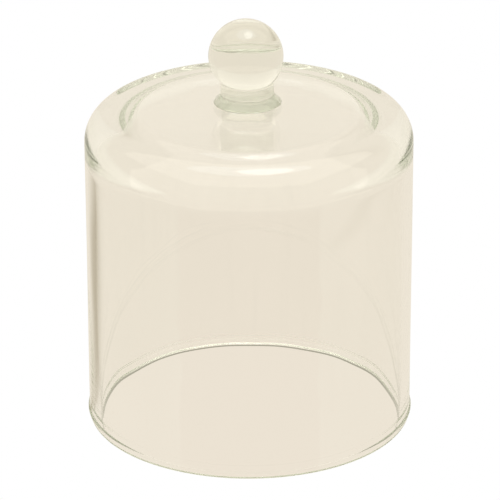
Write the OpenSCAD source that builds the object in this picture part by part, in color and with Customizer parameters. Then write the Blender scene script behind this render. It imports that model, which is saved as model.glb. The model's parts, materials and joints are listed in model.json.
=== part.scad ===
/* [Dome] */
// Outside diameter of the straight wall
dome_d = 105; // [90:1:125]
// Height of the straight wall, from the rim to where the shoulder starts
wall_h = 95; // [70:1:120]
// Thickness of the blown glass
wall_t = 3.2; // [2.4:0.1:4]
// Outside radius of the shoulder
shoulder_r = 10; // [7:0.5:11]
// Rise from the end of the straight wall to the top of the crown
crown_rise = 13; // [12:0.5:18]
// How far below the end of the outside wall the inside starts to turn in
corner_drop = 6.5; // [3:0.5:9]
// How far in from the outside wall the inside reaches the crown
corner_in = 18; // [15:0.5:20]
// Thickness of the crown on the axis, under the knob
crown_t = 4; // [3:0.1:5]

/* [Rim] */
// How far the fire-polished bead stands out from the wall
bead_out = 0.45; // [0.2:0.05:0.8]
// Height of the bead
bead_h = 3.4; // [2.4:0.1:5]
// Rounding of the two bottom edges, which leaves a flat ring between them
rim_round = 0.7; // [0.4:0.1:0.9]

/* [Knob] */
// Diameter of the solid glass ball
ball_d = 23.8; // [21:0.2:25]
// Diameter of the short neck under the ball
neck_d = 17; // [13:0.2:18]
// Diameter of the collar where it is welded to the crown
collar_d = 20.8; // [19:0.2:24]
// Height of the collar above the top of the crown
collar_h = 2.8; // [2:0.1:3.4]
// Height of the ball's centre above the top of the crown
ball_lift = 15.2; // [15:0.2:20]

/* [Hidden] */

glass = [0.90, 0.88, 0.80, 0.55];
glass_thick = [0.84, 0.84, 0.74, 0.75];

// Segments round the axis, and steps along each arc of an outline
$fn = 144;
arc_steps = 12;

// Radius of the hollow blend between the neck and the ball
blend_r = 1.2;

// Hollowness of the collar's side: 1 is a plain cone, and more draws it in sooner
flare_power = 1.3;

// Fullness of the inside corner: 1 is a plain chamfer and 2 a quarter of an ellipse
corner_power = 1.4;

dome_r = dome_d / 2;
bore_r = dome_r - wall_t;
crown_z = wall_h + crown_rise;
corner_z = wall_h - corner_drop;
crown_in_r = dome_r - corner_in;
neck_r = neck_d / 2;
collar_r = collar_d / 2;
ball_r = ball_d / 2;

// Radius of the shallow cap that meets the shoulder arc tangentially and tops out on the axis
function cap_radius() =
    (pow(dome_r - shoulder_r, 2) + pow(crown_rise, 2) - pow(shoulder_r, 2))
    / (2 * (crown_rise - shoulder_r));

// Angle from the axis at which that cap meets the shoulder arc
function cap_angle() = asin((dome_r - shoulder_r) / (cap_radius() - shoulder_r));

// Points [radius, height] along an arc. Angles are measured from the radial direction.
// first = 1 leaves out the point that the line before it has already drawn.
function arc(centre, radius, from, to, steps = arc_steps, first = 0) =
    [for (i = [first : steps]) let (a = from + (to - from) * i / steps)
        centre + radius * [cos(a), sin(a)]];

// Outside of the shoulder and crown as one smooth line from the wall to the axis
function roof_line() =
    let (cap_r = cap_radius(), meet = 90 - cap_angle())
    concat(
        arc([dome_r - shoulder_r, wall_h], shoulder_r, 0, meet),
        arc([0, crown_z - cap_r], cap_r, meet, 90, first = 1));

// Inside of the shoulder and crown, from the axis out to the wall. The glass is thick in the corner:
// the inside is nearly a chamfer there, and leaves the wall lower than the outside does.
function ceiling_line(steps = 2 * arc_steps) =
    let (edge_z = crown_height(crown_in_r) - wall_t, top_z = crown_z - crown_t, draw = 2 / corner_power)
    concat(
        [for (i = [0 : arc_steps - 1]) let (s = i / arc_steps)
            [crown_in_r * s, top_z - (top_z - edge_z) * pow(s, 2)]],
        [for (i = [0 : steps]) let (a = 90 * i / steps)
            [crown_in_r + (bore_r - crown_in_r) * pow(sin(a), draw),
             corner_z + (edge_z - corner_z) * pow(cos(a), draw)]]);

// Height of the crown's outside surface at a given distance from the axis
function crown_height(r) =
    let (cap_r = cap_radius())
    crown_z - cap_r + sqrt(pow(cap_r, 2) - pow(r, 2));

// Outside of the bead, above the rounded bottom edge: it swells by bead_out and falls back to the wall
function bead_line() =
    [for (i = [1 : arc_steps]) let (s = i / arc_steps)
        [dome_r + bead_out * pow(sin(180 * s), 2), rim_round + (bead_h - rim_round) * s]];

// Half outline of the shell: rim, bead, wall, shoulder and crown outside, then the same inside
function shell_outline() =
    concat(
        arc([dome_r - rim_round, rim_round], rim_round, -90, 0, arc_steps / 2),
        bead_line(),
        roof_line(),
        ceiling_line(),
        arc([bore_r + rim_round, rim_round], rim_round, 180, 270, arc_steps / 2));

// Top of the crown under the knob, as a line that the knob's collar sits on face to face
function seat_line(steps = 4) =
    [for (i = [0 : steps]) let (r = collar_r * i / steps) [r, crown_height(r)]];

// Side of the collar: a hollow cone that draws in from the weld to the neck
function flare_line() =
    let (foot_z = crown_height(collar_r))
    [for (i = [1 : arc_steps]) let (s = i / arc_steps)
        [neck_r + (collar_r - neck_r) * pow(1 - s, flare_power),
         foot_z + (crown_z + collar_h - foot_z) * s]];

// Neck and ball as one solid gather of glass, with a small concave blend between them
function knob_outline() =
    let (
        ball_z = crown_z + ball_lift,
        blend_x = neck_r + blend_r,
        blend_drop = sqrt(pow(ball_r + blend_r, 2) - pow(blend_x, 2)),
        blend_z = ball_z - blend_drop,
        tilt = atan2(blend_drop, blend_x))
    concat(
        [[0, crown_z + collar_h], [neck_r, crown_z + collar_h]],
        arc([blend_x, blend_z], blend_r, 180, 180 - tilt, arc_steps / 3),
        arc([0, ball_z], ball_r, -tilt, 90, 2 * arc_steps, first = 1));

module turned(outline) {
    rotate_extrude()
        polygon(outline);
}

// Blown shell, open at the bottom
module dome_shell() {
    color(glass)
        turned(shell_outline());
}

// Flared gather of glass that joins the knob to the crown
module knob_collar() {
    color(glass_thick)
        turned(concat(seat_line(), flare_line(), [[0, crown_z + collar_h]]));
}

// Solid ball with its short neck
module ball_knob() {
    color(glass_thick)
        turned(knob_outline());
}

dome_shell();
knob_collar();
ball_knob();
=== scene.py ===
import json
import math

import bpy
from mathutils import Matrix, Vector


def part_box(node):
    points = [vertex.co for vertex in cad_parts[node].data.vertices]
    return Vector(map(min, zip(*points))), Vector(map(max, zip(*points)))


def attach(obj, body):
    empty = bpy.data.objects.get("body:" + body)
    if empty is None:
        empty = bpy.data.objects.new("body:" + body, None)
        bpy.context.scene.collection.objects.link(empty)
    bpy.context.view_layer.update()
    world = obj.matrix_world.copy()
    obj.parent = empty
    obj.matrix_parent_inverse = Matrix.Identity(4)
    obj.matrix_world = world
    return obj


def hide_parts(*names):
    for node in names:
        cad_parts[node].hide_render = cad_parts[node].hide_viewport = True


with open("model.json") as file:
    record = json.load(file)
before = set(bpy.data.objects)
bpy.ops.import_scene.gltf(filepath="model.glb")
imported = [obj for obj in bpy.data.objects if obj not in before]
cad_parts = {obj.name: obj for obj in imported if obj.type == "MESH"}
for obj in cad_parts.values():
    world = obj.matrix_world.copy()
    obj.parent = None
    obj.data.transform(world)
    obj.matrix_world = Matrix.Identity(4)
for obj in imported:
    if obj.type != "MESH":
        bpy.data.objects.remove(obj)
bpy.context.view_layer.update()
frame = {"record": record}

# Everything is in metres, in the frame of the CAD model: Z is the dome's axis and the rim stands on z = 0.
MM = 0.001

# ---------------------------------------------------------------- dimensions of the three pieces
mounts = {m["name"]: m for m in frame["record"]["mounts"]}
shell_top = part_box("dome_shell")[1][2]
collar_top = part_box("knob_collar")[1][2]
knob_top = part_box("ball_knob")[1][2]

wall_t = 3.2 * MM
rim_round = 0.7 * MM
bead_out = 0.45 * MM
bead_h = 3.4 * MM
shoulder_r = 10 * MM
ball_r = 11.9 * MM
neck_r = 8.5 * MM
collar_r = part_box("knob_collar")[1][0]
bore_r = mounts["mouth"]["dims"]["r_mm"] * MM
dome_r = bore_r + wall_t
wall_h = 95 * MM
crown_rise = shell_top - wall_h
ball_z = knob_top - ball_r
blend_r = 1.2 * MM
flare_power = 1.3
weld_lip = 0.4 * MM

# Inside of the shoulder, at its thinnest and at its thickest: where it leaves the wall, where it meets
# the crown, and how full the curve is. It is thinnest at the front.
corner_thin, corner_thick = 90 * MM, 87 * MM
crown_in_thin, crown_in_thick = 35 * MM, 34 * MM
power_thin, power_thick = 1.5, 1.35
ceiling_top = 104 * MM

# How far the ball's centre lies off the axis, along X
knob_shift = -0.9 * MM

# How far each welded piece reaches into the next one, so that light passes the weld as in solid glass
weld_sink = 0.03 * MM

segments = 320
knob_segments = 224


# ---------------------------------------------------------------- outlines, as points (radius, height)
def arc(centre, radius, start, end, steps, first=0):
    """Points along an arc. Angles are in degrees from the radial direction."""
    points = []
    for i in range(first, steps + 1):
        a = math.radians(start + (end - start) * i / steps)
        points.append((centre[0] + radius * math.cos(a), centre[1] + radius * math.sin(a)))
    return points


def cap_radius():
    return (((dome_r - shoulder_r) ** 2 + crown_rise ** 2 - shoulder_r ** 2)
            / (2 * (crown_rise - shoulder_r)))


def crown_height(r):
    return shell_top - cap_radius() + math.sqrt(cap_radius() ** 2 - r ** 2)


def roof(shoulder_steps, cap_steps):
    """Outside of the shoulder and crown as one smooth line, from the top of the wall to the axis."""
    cap_r = cap_radius()
    meet = 90 - math.degrees(math.asin((dome_r - shoulder_r) / (cap_r - shoulder_r)))
    line = arc((dome_r - shoulder_r, wall_h), shoulder_r, 0, meet, shoulder_steps, first=1)
    line += arc((0, shell_top - cap_r), cap_r, meet, 90, cap_steps, first=1)
    line[-1] = (0.0, line[-1][1])
    return line


def thickness_share(angle):
    """0 where the shoulder is thinnest, at the front, and 1 where it is thickest, at the back."""
    return 0.5 + 0.5 * math.sin(angle)


def ceiling(angle, steps=44, cap_steps=24):
    """Inside of the shoulder and crown at one angle round the axis, from the wall to the axis."""
    share = thickness_share(angle)
    low = corner_thin + (corner_thick - corner_thin) * share
    reach = crown_in_thin + (crown_in_thick - crown_in_thin) * share
    power = power_thin + (power_thick - power_thin) * share
    high = crown_height(reach) - wall_t
    line = []
    for i in range(1, steps + 1):
        t = math.pi / 2 * i / steps
        line.append((reach + (bore_r - reach) * max(math.cos(t), 0.0) ** (2 / power),
                     low + (high - low) * math.sin(t) ** (2 / power)))
    for i in range(1, cap_steps + 1):
        s = 1 - i / cap_steps
        line.append((reach * s, ceiling_top - (ceiling_top - high) * s ** 2))
    line[-1] = (0.0, line[-1][1])
    return line, low


def wall(r, low, high, steps):
    return [(r, low + (high - low) * i / steps) for i in range(1, steps + 1)]


def bead(steps=16):
    points = []
    for i in range(1, steps + 1):
        s = i / steps
        points.append((dome_r + bead_out * math.sin(math.pi * s) ** 2,
                       rim_round + (bead_h - rim_round) * s))
    return points


# ---------------------------------------------------------------- the unevenness of hand-worked glass
def ripple(angle, along, waves):
    """Sum of slow waves round the axis and along the outline: (size, turns, per metre, phase) each."""
    return sum(size * math.sin(turns * angle + rate * along + phase) for size, turns, rate, phase in waves)


def smooth(low, high, value):
    s = min(max((value - low) / (high - low), 0.0), 1.0)
    return s * s * (3 - 2 * s)


outside_waves = ((0.030 * MM, 2, 35, 0.4), (0.022 * MM, 5, -60, 2.1), (0.012 * MM, 9, 90, 4.0),
                 (0.008 * MM, 17, -40, 1.2))
inside_waves = ((0.030 * MM, 3, -30, 1.0), (0.018 * MM, 6, 75, 3.3), (0.010 * MM, 11, -110, 0.2),
                (0.006 * MM, 19, 60, 5.1))


def uneven(points, angle, waves):
    """Moves the points of an outline along its normal. The seat of the knob and the rim stay true."""
    moved = []
    for i, (r, z) in enumerate(points):
        before, after = points[max(i - 1, 0)], points[min(i + 1, len(points) - 1)]
        dr, dz = after[0] - before[0], after[1] - before[1]
        size = math.hypot(dr, dz) or 1.0
        true = smooth(15 * MM, 24 * MM, r) * smooth(bead_h, 3 * bead_h, z)
        true *= 1 - 0.75 * smooth(corner_thick - 15 * MM, corner_thick, z)
        lift = true * ripple(angle, r + z, waves)
        moved.append((r + lift * dz / size, z - lift * dr / size))
    return moved


def shell_outline(angle):
    outside = arc((dome_r - rim_round, rim_round), rim_round, -90, 0, 8)
    outside += bead()
    outside += wall(dome_r, bead_h, wall_h, 44)
    outside += roof(24, 26)
    outside = uneven(outside, angle, outside_waves)
    inside, corner = ceiling(angle)
    inside = inside[::-1]
    inside += wall(bore_r, rim_round, corner, 46)[::-1]
    inside = uneven(inside, angle, inside_waves)
    inside += arc((bore_r + rim_round, rim_round), rim_round, 180, 270, 8)
    flat = []
    steps = 3
    for i in range(1, steps):
        r = bore_r + rim_round + (wall_t - 2 * rim_round) * i / steps
        flat.append((r, 0.0))
    return outside + inside + flat


weld_waves = ((0.10 * MM, 3, 0, 0.7), (0.08 * MM, 7, 0, 2.9), (0.06 * MM, 13, 0, 5.0),
              (0.04 * MM, 23, 0, 1.1))


def collar_outline(angle):
    """Solid cone from the weld to the neck, with an uneven lip of glass squeezed out at the weld."""
    lip = weld_lip + ripple(angle, 0, weld_waves)
    foot_r = collar_r + lip
    seat = [(foot_r * i / 10, crown_height(foot_r * i / 10) - weld_sink) for i in range(11)]
    foot_z = crown_height(collar_r)
    side = arc((collar_r, crown_height(foot_r) - weld_sink), lip, 0, 90, 8, first=1)
    steps = 24
    for i in range(1, steps + 1):
        s = i / steps
        side.append((neck_r + (collar_r - neck_r) * (1 - s) ** flare_power,
                     foot_z + lip + (collar_top - foot_z - lip) * s))
    top = [(neck_r * (1 - i / 4), collar_top) for i in range(1, 5)]
    return seat + side + top


def knob_outline(angle):
    blend_x = neck_r + blend_r
    drop = math.sqrt((ball_r + blend_r) ** 2 - blend_x ** 2)
    tilt = math.degrees(math.atan2(drop, blend_x))
    low = collar_top - weld_sink
    foot = [(neck_r * i / 4, low) for i in range(5)]
    blend_z = ball_z - drop
    line = foot + [(neck_r, low + (blend_z - low) * i / 4) for i in range(1, 4)]
    line += arc((blend_x, blend_z), blend_r, 180, 180 - tilt, 8)
    line += arc((0, ball_z), ball_r, -tilt, 90, 80, first=1)
    line[-1] = (0.0, line[-1][1])
    return line


# ---------------------------------------------------------------- meshes
def turned(name, outline_at, count, lean=None):
    """Turns an outline round the Z axis; outline_at(angle) gives it at each angle. A point at radius 0
    becomes one vertex, and no face joins two such points, so an outline may cross the axis twice.
    lean(z) shifts the point at height z along X."""
    angles = [2 * math.pi * k / count for k in range(count)]
    outlines = [outline_at(a) for a in angles]
    verts, rings = [], []
    for i, (first_r, first_z) in enumerate(outlines[0]):
        ring = []
        for a, outline in zip(angles, outlines) if first_r > 1e-9 else [(0.0, outlines[0])]:
            r, z = outline[i]
            ring.append(len(verts))
            verts.append((r * math.cos(a) + (lean(z) if lean else 0.0), r * math.sin(a), z))
        rings.append(ring)
    pairs = list(zip(rings, rings[1:]))
    if len(rings[0]) > 1 and len(rings[-1]) > 1:
        pairs.append((rings[-1], rings[0]))
    faces = []
    for low, high in pairs:
        for k in range(count):
            n = (k + 1) % count
            if len(low) == 1 and len(high) == 1:
                break
            if len(low) == 1:
                faces.append((low[0], high[n], high[k]))
            elif len(high) == 1:
                faces.append((low[k], low[n], high[0]))
            else:
                faces.append((low[k], low[n], high[n], high[k]))
    mesh = bpy.data.meshes.new(name)
    mesh.from_pydata(verts, [], faces)
    mesh.update()
    for face in mesh.polygons:
        face.use_smooth = True
    mesh.set_sharp_from_angle(angle=math.radians(38))
    piece = bpy.data.objects.new(name, mesh)
    bpy.context.scene.collection.objects.link(piece)
    return piece


def knob_lean(z):
    """The knob was set a little off the axis, and leans the same way."""
    return knob_shift * (0.5 + 0.5 * smooth(shell_top, ball_z, z))


# ---------------------------------------------------------------- materials
# Absorption in depth. Both densities are set one by one, so the knob is greener in depth than the shell.
melt_colour = (0.734, 0.791, 0.694)
shell_density, knob_density = 7.5, 15.0

# Colour of each piece's surface, which drifts from the first value to the second
shell_tints = ((0.986, 0.984, 0.973), (0.974, 0.973, 0.960))
collar_tints = ((0.88, 0.89, 0.86), (0.80, 0.82, 0.77))
ball_tints = ((0.982, 0.972, 0.955), (0.972, 0.962, 0.943))

# Size of the finest ripples
bump_height = 0.02 * MM

# Painted reflection: a tall strip on the front of the wall, a little darker than the rest
reflection_strip_middle, reflection_strip_half = 0.0, 21.5 * MM
painted_reflection_tint = (0.968, 0.958, 0.946)


def math_node(nodes, operation, *values):
    node = nodes.new("ShaderNodeMath")
    node.operation = operation
    for i, value in enumerate(values):
        node.inputs[i].default_value = value
    return node


def noise(nodes, links, place, stretch, scale, detail, low, high):
    """Soft noise in the object's own coordinates, drawn out along Z, as a value from 0 to 1."""
    mapping = nodes.new("ShaderNodeMapping")
    mapping.inputs["Scale"].default_value = stretch
    texture = nodes.new("ShaderNodeTexNoise")
    texture.inputs["Scale"].default_value = scale
    texture.inputs["Detail"].default_value = detail
    limits = nodes.new("ShaderNodeMapRange")
    limits.inputs["From Min"].default_value = low
    limits.inputs["From Max"].default_value = high
    links.new(place, mapping.inputs["Vector"])
    links.new(mapping.outputs[0], texture.inputs["Vector"])
    links.new(texture.outputs[0], limits.inputs["Value"])
    return limits.outputs[0]


def blend(nodes, links, factor, first, second):
    """Mixes two colours; each is a constant or a socket."""
    mix = nodes.new("ShaderNodeMix")
    mix.data_type = "RGBA"
    links.new(factor, mix.inputs["Factor"])
    for socket, colour in ((mix.inputs["A"], first), (mix.inputs["B"], second)):
        if isinstance(colour, tuple):
            socket.default_value = (*colour, 1)
        else:
            links.new(colour, socket)
    return mix.outputs["Result"]


def painted_reflection_strip(nodes, links, place):
    """1 on a tall strip on the front of the wall and 0 elsewhere. Its two edges waver. The strip is a painted
    reflection: it stands for the faint upright edges that a pale wall behind the dome would give."""
    split = nodes.new("ShaderNodeSeparateXYZ")
    links.new(place, split.inputs[0])
    waver = noise(nodes, links, place, (0.4, 0.4, 1.0), 55, 2, 0.2, 0.8)
    across = math_node(nodes, "MULTIPLY_ADD", 0.0, 2.4 * MM, reflection_strip_middle - 1.2 * MM)
    links.new(waver, across.inputs[0])
    offset = math_node(nodes, "SUBTRACT")
    links.new(split.outputs["X"], offset.inputs[0])
    links.new(across.outputs[0], offset.inputs[1])
    away = math_node(nodes, "ABSOLUTE")
    links.new(offset.outputs[0], away.inputs[0])
    inside = nodes.new("ShaderNodeMapRange")
    inside.inputs["From Min"].default_value = reflection_strip_half + 0.5 * MM
    inside.inputs["From Max"].default_value = reflection_strip_half - 0.5 * MM
    links.new(away.outputs[0], inside.inputs["Value"])
    front = nodes.new("ShaderNodeMapRange")
    front.inputs["From Min"].default_value = -0.2 * dome_r
    front.inputs["From Max"].default_value = -0.3 * dome_r
    links.new(split.outputs["Y"], front.inputs["Value"])
    below = nodes.new("ShaderNodeMapRange")
    below.inputs["From Min"].default_value = wall_h
    below.inputs["From Max"].default_value = wall_h - 8 * MM
    links.new(split.outputs["Z"], below.inputs["Value"])
    product = inside.outputs[0]
    for term in (front.outputs[0], below.outputs[0]):
        times = math_node(nodes, "MULTIPLY")
        links.new(product, times.inputs[0])
        links.new(term, times.inputs[1])
        product = times.outputs[0]
    return product


def glass(name, tints, density, painted_reflection=None):
    """Clear glass. Its surface colour drifts between two tints in soft patches and fine drawn-out cords,
    and the melt itself is faintly green in depth."""
    tint, cast = tints
    mat = bpy.data.materials.new(name)
    mat.use_nodes = True
    nodes, links = mat.node_tree.nodes, mat.node_tree.links
    nodes.clear()
    out = nodes.new("ShaderNodeOutputMaterial")
    bsdf = nodes.new("ShaderNodeBsdfPrincipled")
    bsdf.inputs["Roughness"].default_value = 0.0
    bsdf.inputs["IOR"].default_value = 1.5
    bsdf.inputs["Transmission Weight"].default_value = 1.0
    place = nodes.new("ShaderNodeTexCoord").outputs["Object"]
    patches = noise(nodes, links, place, (1.0, 1.0, 0.6), 38, 2, 0.35, 0.65)
    colour = blend(nodes, links, patches, tint, cast)
    cords = noise(nodes, links, place, (1.0, 1.0, 0.05), 260, 1, 0.6, 0.75)
    colour = blend(nodes, links, cords, colour, tuple(0.99 * c for c in cast))
    # Painted reflection: a darker strip blended into the surface colour on the front of the shell
    if painted_reflection:
        colour = blend(nodes, links, painted_reflection_strip(nodes, links, place), colour, painted_reflection)
    links.new(colour, bsdf.inputs["Base Color"])
    ripples = noise(nodes, links, place, (1.0, 1.0, 0.35), 70, 1, 0.0, 1.0)
    bump = nodes.new("ShaderNodeBump")
    bump.inputs["Strength"].default_value = 1.0
    bump.inputs["Distance"].default_value = bump_height
    links.new(ripples, bump.inputs["Height"])
    links.new(bump.outputs[0], bsdf.inputs["Normal"])
    links.new(bsdf.outputs[0], out.inputs["Surface"])
    vol = nodes.new("ShaderNodeVolumeAbsorption")
    vol.inputs["Color"].default_value = (*melt_colour, 1)
    vol.inputs["Density"].default_value = density
    links.new(vol.outputs[0], out.inputs["Volume"])
    return mat


def emission(name, to_glass, to_camera=(1, 1, 1)):
    """A card that looks white to the camera and has its own colour as seen in and through the glass."""
    mat = bpy.data.materials.new(name)
    mat.use_nodes = True
    nodes, links = mat.node_tree.nodes, mat.node_tree.links
    nodes.clear()
    out = nodes.new("ShaderNodeOutputMaterial")
    emit = nodes.new("ShaderNodeEmission")
    mix = nodes.new("ShaderNodeMix")
    mix.data_type = "RGBA"
    mix.inputs["A"].default_value = (*to_glass, 1)
    mix.inputs["B"].default_value = (*to_camera, 1)
    path = nodes.new("ShaderNodeLightPath")
    links.new(path.outputs["Is Camera Ray"], mix.inputs["Factor"])
    links.new(mix.outputs["Result"], emit.inputs["Color"])
    links.new(emit.outputs[0], out.inputs["Surface"])
    return mat


# ---------------------------------------------------------------- camera
def add_camera():
    elevation, roll = math.radians(23.62), math.radians(0.152)
    aim, distance = Vector((0.24 * MM, 0, 56.29 * MM)), 1200 * MM
    forward = Vector((0, math.cos(elevation), -math.sin(elevation)))
    up = Vector((0, math.sin(elevation), math.cos(elevation)))
    right = Vector((1, 0, 0))
    tilted_up = up * math.cos(roll) + right * math.sin(roll)
    tilted_right = right * math.cos(roll) - up * math.sin(roll)
    data = bpy.data.cameras.new("camera")
    data.lens = 267.3
    data.sensor_width = 36
    data.clip_start, data.clip_end = 0.05, 100
    cam = bpy.data.objects.new("camera", data)
    place = aim - forward * distance
    cam.matrix_world = Matrix((
        (tilted_right.x, tilted_up.x, -forward.x, place.x),
        (tilted_right.y, tilted_up.y, -forward.y, place.y),
        (tilted_right.z, tilted_up.z, -forward.z, place.z),
        (0, 0, 0, 1)))
    bpy.context.scene.collection.objects.link(cam)
    bpy.context.scene.camera = cam


# ---------------------------------------------------------------- studio
# Floor and sky as the glass sees them: the sky runs from the horizon to high_sky at high_sky_z
cream = (0.87, 0.80, 0.69)
horizon = (0.90, 0.84, 0.73)
high_sky, high_sky_z = (1.0, 0.94, 0.82), 0.4

# Floor a hair below the rim, and the height of the paint on it
floor_z, paint_z, floor_half = -0.2 * MM, -0.15 * MM, 12.0

# Painted shadow behind the dome to the left, as a fan: tip, length, first and last angle in degrees
shadow_tip, shadow_reach, shadow_spread = (-0.0515, -0.004), 0.30, (18, 60)
shadow_shade = (0.50, 0.44, 0.33)

# Painted contact shadow: a thin dark line where the inside of the rim meets the floor
contact_half, contact_shade = 0.5 * MM, (0.36, 0.35, 0.27)

# Soft light overhead, and the lens-shaped lamps just under it: (name, middle, half sizes, drop, colour)
overhead_z, overhead_x, overhead_y = 0.9, (-1.0, 1.0), (-1.3, 0.5)
overhead_colour = (1.9, 1.8, 1.6)
lamps = (("lamp_cloth", (0.0, 0.0), (0.36, 0.29), 0.004, (3.0, 3.1, 3.1)),
         ("lamp_core", (0.09, -0.03), (0.16, 0.18), 0.006, (6.0, 6.2, 6.1)))
lamp_point = 0.6


def card(name, corners, mat, to_camera=False, faces=None):
    """A flat piece of the studio, one polygon unless its faces are given."""
    mesh = bpy.data.meshes.new(name)
    mesh.from_pydata(corners, [], faces or [tuple(range(len(corners)))])
    obj = bpy.data.objects.new(name, mesh)
    obj.data.materials.append(mat)
    bpy.context.scene.collection.objects.link(obj)
    obj.visible_camera = to_camera
    return obj


def ring(name, inner, outer, z, mat, count=180):
    corners, faces = [], []
    for k in range(count):
        a = 2 * math.pi * k / count
        corners += [(r * math.cos(a), r * math.sin(a), z) for r in (inner, outer)]
        n = (k + 1) % count
        faces.append((2 * k, 2 * k + 1, 2 * n + 1, 2 * n))
    return card(name, corners, mat, faces=faces)


def shadow(name, tip, reach, spread, z, shade, rings=24, rays=28):
    """A fan on the floor, darkest along its middle near the tip, that fades into the floor at its edges."""
    corners, faces, colours = [], [], []
    for i in range(rings + 1):
        for j in range(rays + 1):
            away, across = i / rings, j / rays
            a = math.radians(spread[0] + (spread[1] - spread[0]) * across)
            depth = math.sin(math.pi * across) ** 2 * (1 - smooth(0.5, 1.0, away))
            corners.append((tip[0] - reach * away * math.sin(a), tip[1] + reach * away * math.cos(a), z))
            colours += [*(c + (d - c) * depth for c, d in zip(cream, shade)), 1.0]
            if i < rings and j < rays:
                k = i * (rays + 1) + j
                faces.append((k, k + 1, k + rays + 2, k + rays + 1))
    mat = emission(name, cream)
    nodes, links = mat.node_tree.nodes, mat.node_tree.links
    depth_map = nodes.new("ShaderNodeVertexColor")
    depth_map.layer_name = "shade"
    mix = next(n for n in nodes if n.bl_idname == "ShaderNodeMix")
    links.new(depth_map.outputs["Color"], mix.inputs["A"])
    fan = card(name, corners, mat, faces=faces)
    fan.data.color_attributes.new("shade", "FLOAT_COLOR", "POINT").data.foreach_set("color", colours)
    return fan


def rectangle(name, x, y, z, mat, to_camera=False):
    card(name, [(x[0], y[0], z), (x[1], y[0], z), (x[1], y[1], z), (x[0], y[1], z)], mat, to_camera)


def lens(name, middle, half, z, mat, count=64):
    """An oval with pointed ends along X."""
    rim = []
    for k in range(count):
        a = 2 * math.pi * k / count
        rim.append((middle[0] + half[0] * math.cos(a),
                    middle[1] + half[1] * math.sin(a) * abs(math.sin(a)) ** lamp_point, z))
    card(name, rim, mat)


def add_studio():
    side = (-floor_half, floor_half)
    rectangle("floor", side, side, floor_z, emission("floor", cream), to_camera=True)
    shadow("shadow", shadow_tip, shadow_reach, shadow_spread, paint_z, shadow_shade)
    # painted contact shadow under the inside of the rim
    ring("contact", bore_r - contact_half, bore_r + contact_half, paint_z, emission("contact", contact_shade))
    rectangle("overhead", overhead_x, overhead_y, overhead_z, emission("overhead", overhead_colour))
    for name, middle, half, drop, colour in lamps:
        lens(name, middle, half, overhead_z - drop, emission(name, colour))


def add_world():
    """A sky that is plain white to the camera and warm to the glass, lighter away from the horizon."""
    world = bpy.data.worlds.new("studio")
    bpy.context.scene.world = world
    world.use_nodes = True
    nodes, links = world.node_tree.nodes, world.node_tree.links
    nodes.clear()
    split = nodes.new("ShaderNodeSeparateXYZ")
    links.new(nodes.new("ShaderNodeTexCoord").outputs["Generated"], split.inputs[0])
    ramp = nodes.new("ShaderNodeValToRGB")
    first, last = ramp.color_ramp.elements
    first.position, first.color = 0.0, (*horizon, 1)
    last.position, last.color = high_sky_z, (*high_sky, 1)
    links.new(split.outputs["Z"], ramp.inputs["Fac"])
    seen = nodes.new("ShaderNodeLightPath").outputs["Is Camera Ray"]
    back = nodes.new("ShaderNodeBackground")
    links.new(blend(nodes, links, seen, ramp.outputs["Color"], (1, 1, 1)), back.inputs["Color"])
    links.new(back.outputs[0], nodes.new("ShaderNodeOutputWorld").inputs["Surface"])


# ---------------------------------------------------------------- assembly
add_camera()
add_studio()
add_world()

shell = turned("blown_shell", shell_outline, segments)
collar = turned("weld_collar", collar_outline, knob_segments, knob_lean)
knob = turned("glass_ball", knob_outline, knob_segments, knob_lean)

for piece, node, slot, tints, density, painted_reflection in (
        (shell, "dome_shell", "glass_shell", shell_tints, shell_density, painted_reflection_tint),
        (collar, "knob_collar", "glass_collar", collar_tints, knob_density, None),
        (knob, "ball_knob", "glass_knob", ball_tints, knob_density, None)):
    piece.data.materials.append(glass(slot, tints, density, painted_reflection))
    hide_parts(node)
    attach(piece, "root")

scene = bpy.context.scene
scene.view_settings.view_transform = "Standard"
scene.cycles.max_bounces = 120
scene.cycles.transmission_bounces = 120
scene.cycles.glossy_bounces = 120
